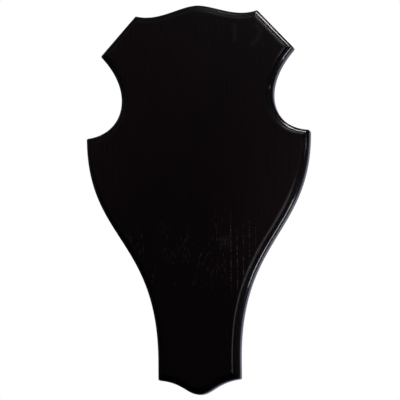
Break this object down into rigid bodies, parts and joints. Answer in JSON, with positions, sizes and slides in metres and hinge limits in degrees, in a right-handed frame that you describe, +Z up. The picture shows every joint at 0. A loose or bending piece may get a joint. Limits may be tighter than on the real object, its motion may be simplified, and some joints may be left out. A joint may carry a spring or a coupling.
{
  "type": "trophy plaque",
  "caption": "Crested wooden shield board with bays, wings and a pointed foot, a moulded front edge and a keyhole hanger in its back.",
  "frame": {"origin": "where the wall screw sits: the middle of the upper end of the hanger's slot, in the plane of the board's back", "axes": "+Z up along the board's middle line, +X to the right seen from the front, -Y out of the front face; the back lies at Y = 0"},
  "size_m": [0.262, 0.02, 0.45],
  "materials": {
    "stained_wood": "dark stain under satin-gloss lacquer",
    "zinc_steel": "zinc plated",
    "screw_steel": "yellow zinc plated"
  },
  "bodies": {
    "root": {"left_board": "stained_wood", "centre_board": "stained_wood", "right_board": "stained_wood", "keyhole_hanger": "zinc_steel", "hanger_screw_upper": "screw_steel", "hanger_screw_lower": "screw_steel"}
  },
  "joints": []
}
